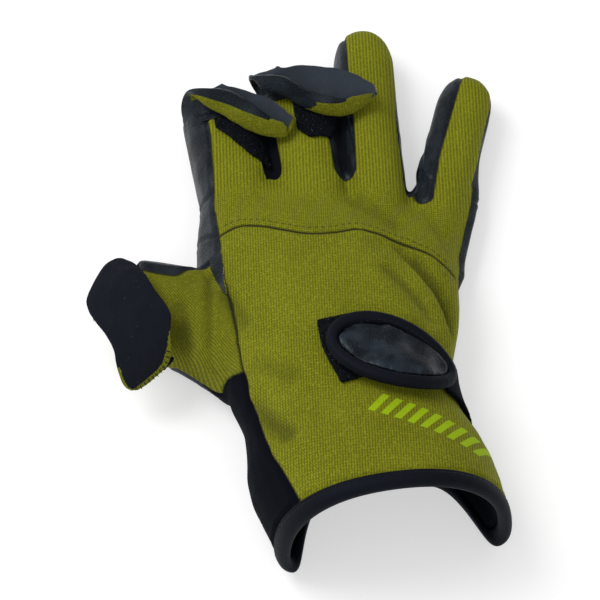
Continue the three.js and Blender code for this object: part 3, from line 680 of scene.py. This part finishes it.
def makeSkin(look):
    skin = softCopy("gloveSkin", list(skinPanels), "leather", look["voxel"], look["rounds"], look["swell"])
    print("skin faces:", len(skin.data.polygons))
    points, normals = meshPoints(skin.data)
    fields, bound, seam = seamDistances([Vector(p) for p in points])
    outside = insideShare(points, normals)
    x, y = points[:, 0] * 1000 - gloveShift.x, points[:, 1] * 1000 - gloveShift.y
    side = np.where(outside > 0, 1, -1)
    sink = look["groove"] * np.exp(-(seam / look["grooveWidth"]) ** 2)
    sink -= look["roll"] * np.exp(-((seam - 2.2 * look["grooveWidth"]) / look["grooveWidth"]) ** 2)
    sink += look["tuckDepth"] * smooth(between(bound, *look["tuckFades"]))
    uneven = np.array([noise.fractal(Vector(p) / look["unevenSize"], 0.8, 2.0, 3) for p in points])
    high = between(points[:, 2], *look["unevenFades"])
    move = -sink * np.clip(points[:, 2] / 0.003, 0, 1)
    depth = creaseDepth(x, y, creaseShape)
    level = np.clip(normals[:, 2] * side * 2.2 - 0.35, 0, 1) * (points[:, 2] > look["creasesAbove"])
    move += side * high * (uneven * look["uneven"] - depth / 1000 * level)
    points = flareLittle(raiseThumb(points + normals * move[:, None]))
    points[:, 2] = np.maximum(points[:, 2], 0.00005)
    movePoints(skin, points)

    bm = bmesh.new()
    bm.from_mesh(skin.data)
    layers = {name: bm.verts.layers.float.new("field_" + name) for name in skinPanels}
    out = bm.verts.layers.float.new("out")
    fold = bm.verts.layers.float.new("fold")
    owner = bm.faces.layers.int.new("owner")
    bm.verts.ensure_lookup_table()
    for name, layer in layers.items():
        for vert, value in zip(bm.verts, fields[name]):
            vert[layer] = value
    # fold: painted shade, taken from the creases' depth on the faces turned up
    for vert, value, shade in zip(bm.verts, outside, np.clip(depth / look["foldShade"], 0, 1) * level):
        vert[out] = value
        vert[fold] = shade
    for name, layer in layers.items():
        if name != "cuff_binding":
            cutAlong(bm, layer)
    for face in bm.faces:  # each belongs to one panel, so none is lost where three panels meet
        shares = [sum(v[layer] for v in face.verts) for layer in layers.values()]
        face[owner] = shares.index(max(shares))
    bpy.data.objects.remove(skin)
    for row, (name, (outer, inner, slot)) in enumerate(skinPanels.items()):
        if name == "cuff_binding":
            continue
        panel = bm.copy()
        mine = panel.verts.layers.float["field_" + name]
        facing = panel.verts.layers.float["out"]
        owned = panel.faces.layers.int["owner"]
        drop = [f for f in panel.faces if f[owned] != row]
        bmesh.ops.delete(panel, geom=drop, context="FACES")
        seamLayer = panel.verts.layers.float.new("seam")
        for vert in panel.verts:
            vert[seamLayer] = abs(vert[mine])
        for face in panel.faces:
            face.material_index = 0 if sum(v[facing] for v in face.verts) > 0 else 1
            within = inSlot(face)
            # painted shade: leather down in a slot
            if within == 1 and outer == "leather":
                face.material_index = 2
            elif within == 2:
                face.material_index = 0
        for layerName in ["field_" + n for n in skinPanels] + ["out"]:
            panel.verts.layers.float.remove(panel.verts.layers.float[layerName])
        bmesh.ops.triangulate(panel, faces=[f for f in panel.faces if len(f.verts) > 4])
        dress(newPiece(name + "Cloth", panel, outer, inner, "paintedSlotShade"), slot, name)
    bm.free()


makeSkin(skinLook)
print("skin cut into panels")


# Cloth sheets: a grid is laid on a surface at(t, v), then thickened
def rowAlong(rows, share):
    last = len(rows) - 1
    i = min(int(share * last), last - 1)
    t = share * last - i
    p0, p1, p2, p3 = [np.array(rows[min(max(j, 0), last)]) for j in (i - 1, i, i + 1, i + 2)]
    return 0.5 * (2 * p1 + (p2 - p0) * t + (2 * p0 - 5 * p1 + 4 * p2 - p3) * t * t
                  + (3 * p1 - p0 - 3 * p2 + p3) * t ** 3)


def clothSheet(name, at, low, high, steps, columns, thickness, materials, turned=False, rim=0, ruffle=None,
               zone=None):
    # materials are those of the laid surface and its back, then of the surface and its back in a zone
    # of their own; turned lays it face down
    bm = bmesh.new()
    bmesh.ops.create_grid(bm, x_segments=steps, y_segments=columns, size=0.5)
    spots = {}
    for vert in bm.verts:
        t, s = vert.co.x + 0.5, vert.co.y + 0.5
        v = low(t) * (1 - s) + high(t) * s
        spots[vert] = t, v
        vert.co = place(*at(t, v))
    for face in bm.faces:
        t, v = [sum(spots[vert][k] for vert in face.verts) / len(face.verts) for k in (0, 1)]
        face.material_index = 2 if zone and zone(t, v) else 0
    if turned:
        bmesh.ops.reverse_faces(bm, faces=bm.faces)
    bm.normal_update()
    if ruffle:
        for vert in bm.verts:
            vert.co += vert.normal * ruffle(vert.co)
    piece = newPiece(name, bm, *materials)
    modify(piece, "SOLIDIFY", thickness=thickness, offset=-1, material_offset=1,
           material_offset_rim=rim, use_even_offset=False)
    modify(piece, "BEVEL", width=0.0007, segments=3, limit_method="ANGLE", angle_limit=math.radians(50))
    return settle(piece)


def wavy(size, height, seed):
    return lambda p: noise.fractal(Vector(p) / size + Vector((seed, 0, 0)), 0.7, 2.0, 3) * height


# Caps of the index and middle fingers, folded back. Each row: near rim, low part, far rim, in mm
capCloth = {"thickness": 0.0016, "steps": 90, "columns": 30, "side": 0.5, "sideEnds": 0.7}
capLook = {
    "index_cap": {**capCloth, "leather": 0.24, "slant": 0, "tip": 1, "seed": 3},
    "middle_cap": {**capCloth, "leather": 0.5, "slant": 0.12, "tip": 0.95, "seed": 8},
}
capRows = {
    "index_cap": [
        [-47.3, 204.3, 16, -38.8, 202.1, 25.6, -24.9, 202, 26],
        [-47.2, 207.1, 16, -38.8, 204.4, 25.4, -24.9, 204.2, 25.8],
        [-47.2, 210.4, 15.9, -38.8, 207.1, 25.2, -24.9, 206.9, 25.6],
        [-46.8, 213.6, 23, -38, 212, 28.5, -29.5, 211.6, 29.5],
        [-43.8, 213.6, 32.5, -40, 210.7, 31, -29.5, 212, 32.5],
        [-35.8, 209.8, 37.5, -38.6, 207, 31.5, -27.5, 211.3, 34],
        [-28.4, 205.9, 39, -29.8, 199, 29.5, -21.7, 208.7, 34],
        [-22.3, 200.3, 39, -23.4, 193, 28.5, -16.1, 205.2, 33.5],
        [-17.9, 195.1, 38, -17.5, 188.9, 28.5, -10.5, 201.4, 33.5],
        [-13, 190.2, 36.5, -12.4, 186.6, 29, -7, 197, 34],
        [-9.8, 188.4, 36, -9.4, 185.2, 29.6, -4.8, 193.6, 34.5],
        [-8.2, 187.2, 35.3, -7.6, 184.8, 30.6, -3.6, 191.6, 34.8],
        [-7.4, 187.2, 34.8, -6.8, 185.6, 32, -3.4, 190.4, 34.6],
    ],
    "middle_cap": [
        [-14.3, 208.4, 17, -6.7, 206.1, 26.1, 6.4, 205.6, 26.5],
        [-14.3, 211.2, 16.9, -6.6, 208.4, 25.9, 6.4, 207.9, 26.3],
        [-14.2, 214.4, 16.8, -6.5, 211.1, 25.6, 6.5, 210.5, 26.1],
        [-17, 217, 24, -10, 216.4, 29, -2.5, 216.6, 30],
        [-17.5, 215.6, 31.5, -12.8, 213.9, 31, -4.5, 216.6, 32.5],
        [-11.6, 212.2, 36.5, -12.6, 208.6, 30.5, -4.1, 216, 34],
        [-3.8, 207.6, 39, -3.1, 202.8, 30.5, 2.3, 215.8, 34],
        [2, 201, 39, 3.3, 197.2, 30, 8.8, 214.3, 34],
        [9.2, 197.3, 38, 10.1, 193.4, 29.5, 15.9, 211.9, 34],
        [16.2, 194.6, 37, 16.6, 192.1, 29, 21.3, 209.6, 34],
        [22.5, 195, 36, 22.4, 192, 30, 25.7, 206.2, 34.5],
        [28.1, 195.8, 35.5, 27.8, 193.7, 32, 28.8, 203, 35],
        [30.8, 196, 35, 31, 195, 33, 31.2, 200.6, 35],
        [31.8, 196.6, 34.8, 32.2, 196.2, 33.8, 32, 199.2, 34.8],
    ],
}


def capSurface(rows):
    def at(t, v):
        row = rowAlong(rows, t)
        return row[0:3] * (v * (v - 1) / 2) + row[3:6] * (1 - v * v) + row[6:9] * (v * (v + 1) / 2)
    return at


def makeCap(name, look):
    rows = capRows[name]
    at = capSurface(rows)
    hinge = 2 / (len(rows) - 1)  # the share that lies over the finger's end

    def inLeather(t, v):  # by the hinge, and at the very tip
        return t < look["leather"] - look["slant"] * v or t > look["tip"]

    def seam(t):
        along = min(max((t - hinge) / (1 - hinge), 0), 1)
        return -1 + look["side"] * max(1 - along / look["sideEnds"], 0) ** 0.7

    sideLength = hinge + (look["sideEnds"] - 0.03) * (1 - hinge)
    ruffle = wavy(0.011, 0.0005, look["seed"])
    cap = clothSheet(name + "Cloth", at, seam, lambda t: 1, look["steps"], look["columns"],
                     look["thickness"], ("capKnit", "twill", "leather", "twill"), turned=True,
                     ruffle=ruffle, zone=inLeather)
    side = clothSheet(name + "Side", lambda t, v: at(t * sideLength, v), lambda t: -1,
                      lambda t: seam(t * sideLength), 60, 10, look["thickness"] * 1.05,
                      ("leather", "twill"), turned=True, ruffle=ruffle)
    dress(cap, "olive_neoprene", name)
    dress(side, "leather", name + "_side")


for capName in capRows:
    makeCap(capName, capLook[capName])
print("caps folded")


# The thumb's flap, from its top to its hanging end: left edge, then right edge, mm
flapLook = {"thickness": 0.0026, "arch": 2.5, "lip": 2.3, "lipStart": 0.5, "lipBack": 0.74, "lipEnd": 0.965}
flapRows = [
    [-86.4, 141.2, 30, -83.2, 140.3, 30.8], [-89.5, 140.2, 29.6, -79.8, 136.9, 32.4],
    [-93.6, 136.4, 30, -76.6, 129.5, 36], [-98.1, 131.1, 30, -74.6, 122.1, 37.5],
    [-101.2, 124.9, 29.5, -71.6, 114.2, 38],
    [-100.9, 119.3, 29.5, -69.7, 108.8, 37], [-99, 113.9, 30, -70, 105.1, 35.5],
    [-96, 107.3, 30, -71.3, 100.5, 33.5], [-94.2, 100.8, 28.5, -71.9, 95.4, 30.5],
    [-94, 96.6, 26, -73.4, 91.8, 27.5], [-93.8, 93.4, 23.5, -76.7, 89.8, 24],
    [-93, 90.4, 20.5, -82, 88.2, 20.5], [-91.6, 88.2, 18.9, -85.3, 87.2, 18.7],
    [-89.6, 87.1, 18, -87.4, 86.8, 18],
]


def flapSurface(t, v):
    row = rowAlong(flapRows, t)
    share = (v + 1) / 2
    point = row[0:3] * (1 - share) + row[3:6] * share
    point[2] += flapLook["arch"] * min((row[3] - row[0]) / 24, 1) * (1 - v * v)
    return point


def flapWidth(t):
    row = rowAlong(flapRows, t)
    return math.dist(row[0:3], row[3:6])


def onLip(t, v):  # the olive side shows along the lower edge, round to the left
    width = flapWidth(t)
    right, left = (1 - v) / 2 * width, (1 + v) / 2 * width
    lip = flapLook["lip"] * min((t - flapLook["lipStart"]) / 0.15, 1)
    return right < lip or (t > flapLook["lipBack"] and left < lip * 0.5) or t > flapLook["lipEnd"]


flap = clothSheet("thumbFlapCloth", flapSurface, lambda t: -1, lambda t: 1, 110, 56, flapLook["thickness"],
                  ("lining", "thumbKnit", "thumbKnit", "thumbKnit"), rim=1, ruffle=wavy(0.016, 0.0008, 5),
                  zone=onLip)
dress(flap, "olive_neoprene", "thumb_flap")
hinge = softCopy("thumbHingeCloth", ["thumb_hinge"], "thumbKnit", 0.0006, 12, 0.0002)
dress(hinge, "olive_neoprene", "thumb_hinge")
print("thumb flap laid")


# The strap's end is drawn wider across the strap than its solids. In mm: its shift across the strap, its
# lift off the cloth, and the tab's shift along the strap
strapFit = {"stretch": 1.11, "shift": -0.6, "lift": 0.45, "tab": -2.0}


def fitStrap(points, along=0.0):
    corners = [corner.y for corner in nodeCorners("strap_piping")]
    middle = (min(corners) + max(corners)) / 2
    points[:, 0] += along / 1000
    points[:, 1] = middle + (points[:, 1] - middle) * strapFit["stretch"] + strapFit["shift"] / 1000
    points[:, 2] += strapFit["lift"] / 1000
    return points


# Hook patches, with a rough face and ragged edges
patchLook = {"voxel": 0.0005, "rounds": 4, "rough": 0.0003, "grains": (1500, 380), "lift": 0.0002,
             "reach": 9, "step": 0.004}
patchCorners = {"middle_patch": [((11.4, 186), (0.884, -0.468))]}  # trimmed: point, way out
# lower edges drawn down, in mm: where and how far, over what width; the edge's line, from its y at x 0
patchDrops = {"index_patch": {"x": -24, "drop": 6.8, "width": 8, "edge": 168.4, "slope": -0.85},
              "middle_patch": {"x": 1.5, "drop": 4.3, "width": 4.5, "edge": 188.7, "slope": -0.55}}


def dropEdge(points, look):
    # draws a patch's lower edge down along the finger, keeping its height over the cloth
    bm = bmesh.new()
    bm.from_mesh(bpy.data.objects["finger_backsCloth"].data)
    tree = BVHTree.FromBMesh(bm)
    bm.free()

    def ground(p):
        hit = tree.ray_cast(Vector((p[0], p[1], 0.06)), Vector((0, 0, -1)))[0]
        return hit.z if hit else None
    for p in points:
        x, y = p[0] * 1000 - gloveShift.x, p[1] * 1000 - gloveShift.y
        share = min(max(1 - (y - look["edge"] - look["slope"] * x) / patchLook["reach"], 0), 1)
        before = ground(p)
        p[1] -= look["drop"] / 1000 * share * math.exp(-((x - look["x"]) / look["width"]) ** 2)
        after = ground(p)
        if before and after and abs(after - before) < patchLook["step"]:
            p[2] += after - before
        p[2] += patchLook["lift"]


def makeHookPatch(name, look):
    piece = softCopy(name.replace("_", "") + "Tape", [name], "hook", look["voxel"], look["rounds"])
    points, normals = meshPoints(piece.data)
    if name in patchDrops:
        dropEdge(points, patchDrops[name])
    if name == "strap_tab":
        points = fitStrap(points, strapFit["tab"])
    for point, way in patchCorners.get(name, []):
        beyond = (points - np.array(place(*point, 0)))[:, :2] @ np.array(way)
        points[:, :2] -= np.maximum(beyond, 0)[:, None] * np.array(way)
    fine, coarse = look["grains"]
    spots = [Vector(p) for p in points]
    rough = np.array([noise.noise(p * fine) + 0.6 * noise.noise(p * coarse) for p in spots])
    points += normals * (rough * look["rough"])[:, None]
    movePoints(piece, points)
    return dress(piece, "hook_tape", name)


for patchName in ("index_patch", "middle_patch", "thumb_patch", "strap_tab"):
    makeHookPatch(patchName, patchLook)
print("hook patches made")


# Cuff binding: the tape's ring, rounded
bindingLook = {"swell": 0.0003, "groove": 0.0004, "grooveAt": 0.0022, "grooveWidth": 0.0005,
               "middle": (0, 0, 20), "radius": 0.045}


def makeBindingRing(look):
    bm = nodeMesh(["cuff_binding"])
    bmesh.ops.join_triangles(bm, faces=bm.faces, angle_face_threshold=3.1, angle_shape_threshold=3.1)
    ring = newPiece("cuffBindingTape", bm, "binding")
    modify(ring, "SUBSURF", levels=3, render_levels=3)
    modify(ring, "DISPLACE", strength=look["swell"], mid_level=0)
    settle(ring)
    panels = nodeMesh(["hand_back", "cuff_gusset", "palm"])
    tree = BVHTree.FromBMesh(panels)
    panels.free()
    points, normals = meshPoints(ring.data)
    away = np.array([tree.find_nearest(Vector(p))[3] for p in points])
    outside = insideShare(points, normals) > 0
    groove = look["groove"] * np.exp(-((away - look["grooveAt"]) / look["grooveWidth"]) ** 2) * outside
    points -= normals * groove[:, None]
    points[:, 2] = np.maximum(points[:, 2], 0.00005)
    movePoints(ring, points)
    middle = place(*look["middle"])
    along = ring.data.attributes.new("along", "FLOAT", "POINT")
    walked = np.arctan2(points[:, 2] - middle.z, points[:, 0] - middle.x) * look["radius"]
    along.data.foreach_set("value", walked)
    return dress(ring, "binding", "cuff_binding")


makeBindingRing(bindingLook)
print("cuff bound")


# Wrist strap: padded end, its piping, band. cap: how far the pressure may move the pad; reach: its growth
# to lie under the piping
padLook = {"voxel": 0.0011, "rounds": 4, "swell": 0.0012, "pressure": 3.0, "cap": 0.0012, "frames": 16,
           "dent": 0.002, "dentSize": 0.009, "dentShift": (4, 1, 7), "reach": 1.045}


def makePad(look):
    pad = softCopy("strapPadCushion", ["strap_pad"], "padLeather", look["voxel"], look["rounds"],
                   look["swell"])
    start, _ = meshPoints(pad.data)
    cloth = modify(pad, "CLOTH").settings
    cloth.use_pressure = True
    cloth.uniform_pressure_force = look["pressure"]
    cloth.effector_weights.gravity = 0
    scene = bpy.context.scene
    for step in range(1, look["frames"] + 1):
        scene.frame_set(step)
    settle(pad)
    points, _ = meshPoints(pad.data)
    moved = points - start
    far = np.linalg.norm(moved, axis=1, keepdims=True)
    points = start + moved * np.minimum(1, look["cap"] / np.maximum(far, 1e-9))
    movePoints(pad, points)
    scene.frame_set(1)
    points, normals = meshPoints(pad.data)
    shift = Vector(look["dentShift"])
    dents = np.array([noise.noise(Vector(p) / look["dentSize"] + shift) for p in points])
    points += normals * (dents * look["dent"] * np.clip(normals[:, 2] * 1.5 - 0.3, 0, 1))[:, None]
    middle = points[:, :2].mean(0)
    points[:, :2] = middle + (points[:, :2] - middle) * look["reach"]
    movePoints(pad, fitStrap(points))
    modify(pad, "SUBSURF", levels=1, render_levels=1)
    settle(pad)
    return dress(pad, "leather", "strap_pad")


makePad(padLook)
piping = softCopy("strapPipingTape", ["strap_piping"], "binding", 0.0005, 14, 0.0002)
pipingPoints, _ = meshPoints(piping.data)
movePoints(piping, fitStrap(pipingPoints))
dress(piping, "binding", "strap_piping")
band = softCopy("strapBandCloth", ["strap_band"], "blackKnit", 0.0007, 8, 0.0001)
dress(band, "black_neoprene", "strap_band")
print("strap made")


# Stitches: short threads in rows, laid on the cloth
def cloth(*names):
    bm = bmesh.new()
    for name in names:
        bm.from_mesh(bpy.data.objects[name].data)
    tree = BVHTree.FromBMesh(bm)
    bm.free()
    return tree


def evenly(path, pitch):
    # places at even steps along a smooth line through a few points, with the way it runs
    rows = [list(point) for point in path]
    line = [Vector(rowAlong(rows, i / 400)) for i in range(401)]
    walked = 0.0
    for a, b in zip(line, line[1:]):
        walked += (b - a).length
        if walked >= pitch:
            walked = 0.0
            yield b, (b - a).normalized()


def sewRow(name, path, look, onto, fromWhere, thread="blackThread", slot="binding"):
    # path in mm; each stitch is found on the cloth by looking from outside
    bm = bmesh.new()
    for point, way in evenly(path, look["pitch"]):
        out = fromWhere(point)
        hit, normal, _, _ = onto.ray_cast(place(*point) + out * 0.03, -out)
        if hit is None:
            continue
        side = normal.cross(way).normalized()
        way = side.cross(normal).normalized()
        turned = Matrix((way, side, normal)).transposed().to_4x4()
        turned = turned @ Matrix.Rotation(look.get("turn", 0), 4, "Z")
        size = Matrix.Diagonal((look["length"], look["width"], look["width"] * 0.7, 1))
        bmesh.ops.create_uvsphere(bm, u_segments=6, v_segments=4, radius=0.0005,
                                  matrix=Matrix.Translation(hit) @ turned @ size)
    return dress(newPiece(name, bm, thread), slot)


stitchLook = {  # mm; turn in radians
    "knuckle": {"pitch": 2.6, "length": 1.9, "width": 0.8},
    "cuff": {"pitch": 2.5, "length": 1.7, "width": 0.5},
    "pad": {"pitch": 2.2, "length": 1.5, "width": 0.45},
    "flapEdge": {"pitch": 2.1, "length": 2.4, "width": 0.5, "turn": 1.35},
    "flapArc": {"pitch": 2.4, "length": 1.4, "width": 0.45},
}
up = Vector((0, 0, 1))
knuckleLine = [(-43, 146.2), (-36, 147.2), (-28, 144.2), (-18, 138.7), (-9, 134.2), (1, 133.2), (10, 133.7),
               (18, 131.2), (26, 126.7), (36, 121), (44, 115)]
sewRow("knuckleStitches", [(x, y, 40) for x, y in knuckleLine], stitchLook["knuckle"],
       cloth("finger_backsCloth"), lambda p: up, "oliveThread", "olive_neoprene")


cuffArch = {"middle": 15, "halfWidth": 45, "rise": 47, "from": -12, "sweep": 204, "lean": 3.5 / 62,
            "skew": -0.05}  # mm and degrees


def cuffLine(back, look):
    # the rim's line over the back of the wrist, that far up from the rim
    line = []
    for i in range(25):
        angle = math.radians(look["from"] + look["sweep"] * i / 24)
        x, z = look["halfWidth"] * math.cos(angle), look["middle"] + look["rise"] * math.sin(angle)
        line.append((x, back + look["lean"] * z + look["skew"] * x, z))
    return line


sewRow("cuffStitches", cuffLine(4.6, cuffArch), stitchLook["cuff"], cloth("cuffBindingTape"),
       lambda p: Vector((p.x, 0, p.z - cuffArch["middle"])).normalized())


def pipingLine(inset):
    # the middle of the piping, drawn in towards the pad
    points = fitStrap(np.array(nodeCorners("strap_piping")))
    points = [Vector(point) * 1000 - gloveShift for point in points]
    middle = sum(points, Vector()) / len(points)
    bins = [[] for _ in range(24)]
    for p in points:
        bins[int((math.atan2(p.y - middle.y, p.x - middle.x) / (2 * math.pi) + 0.5) * 24) % 24].append(p)
    line = []
    for group in bins:
        centre = sum(group, Vector()) / len(group)
        line.append(centre + (middle - centre).normalized() * inset)
    for _ in range(2):  # evened out
        line = [(line[i - 1] + line[i] * 2 + line[(i + 1) % len(line)]) / 4 for i in range(len(line))]
    return line + line[:1]


sewRow("padStitches", pipingLine(1.9), stitchLook["pad"], cloth("strapPipingTape"),
       lambda p: Vector((0.25, 0, 1)).normalized())
flapTree = cloth("thumbFlapCloth")
flapEdge = [flapSurface(t, 0.9) for t in (0.6, 0.66, 0.72, 0.78)]
flapEdge += [flapSurface(t, 0.9 - 0.1 * (t - 0.8) / 0.15) for t in (0.84, 0.88, 0.92)]
flapEdge += [flapSurface(0.945, v) for v in (0.5, 0.1, -0.3)]
sewRow("flapEdgeStitches", flapEdge, stitchLook["flapEdge"], flapTree, lambda p: up)
flapArc = [flapSurface(t, -0.84) for t in (0.06, 0.12, 0.18, 0.24, 0.3, 0.36, 0.42)]
sewRow("flapArcStitches", flapArc, stitchLook["flapArc"], flapTree, lambda p: up)
print("stitches sewn")


# Stage: pale floor, soft light
def makeStage():
    bm = bmesh.new()
    bmesh.ops.create_grid(bm, x_segments=1, y_segments=1, size=4)
    floor = newPiece("floor", bm)
    # a light table, so shadows stay pale
    paint = Finish("paleFloor", Roughness=0.9, Specular_IOR_Level=0.1, Base_Color=(0.6, 0.6, 0.6, 1),
                   Emission_Color=(1, 1, 1, 1), Emission_Strength=0.47)
    floor.data.materials.append(paint.material)
    floor.location.z = -0.0002
    world = bpy.data.worlds.new("studio")
    world.use_nodes = True
    sky = world.node_tree.nodes["Background"].inputs
    sky["Color"].default_value = (1, 1, 1, 1)
    sky["Strength"].default_value = 0.5
    bpy.context.scene.world = world
    bpy.context.scene.view_settings.view_transform = "Standard"
    lights = {"key": ((-0.75, 0.55, 1.4), 0.9, 16.5), "fill": ((0.0, -1.2, 0.9), 1.4, 5.5),
              "side": ((-1.2, 0, 0.8), 1.2, 1)}  # place in metres, size, power
    for name, (spot, size, power) in lights.items():
        lamp = bpy.data.lights.new(name, "AREA")
        lamp.size, lamp.energy = size, power
        light = bpy.data.objects.new(name, lamp)
        light.location = spot
        light.rotation_euler = Vector(spot).to_track_quat("Z", "Y").to_euler()
        bpy.context.scene.collection.objects.link(light)


makeStage()
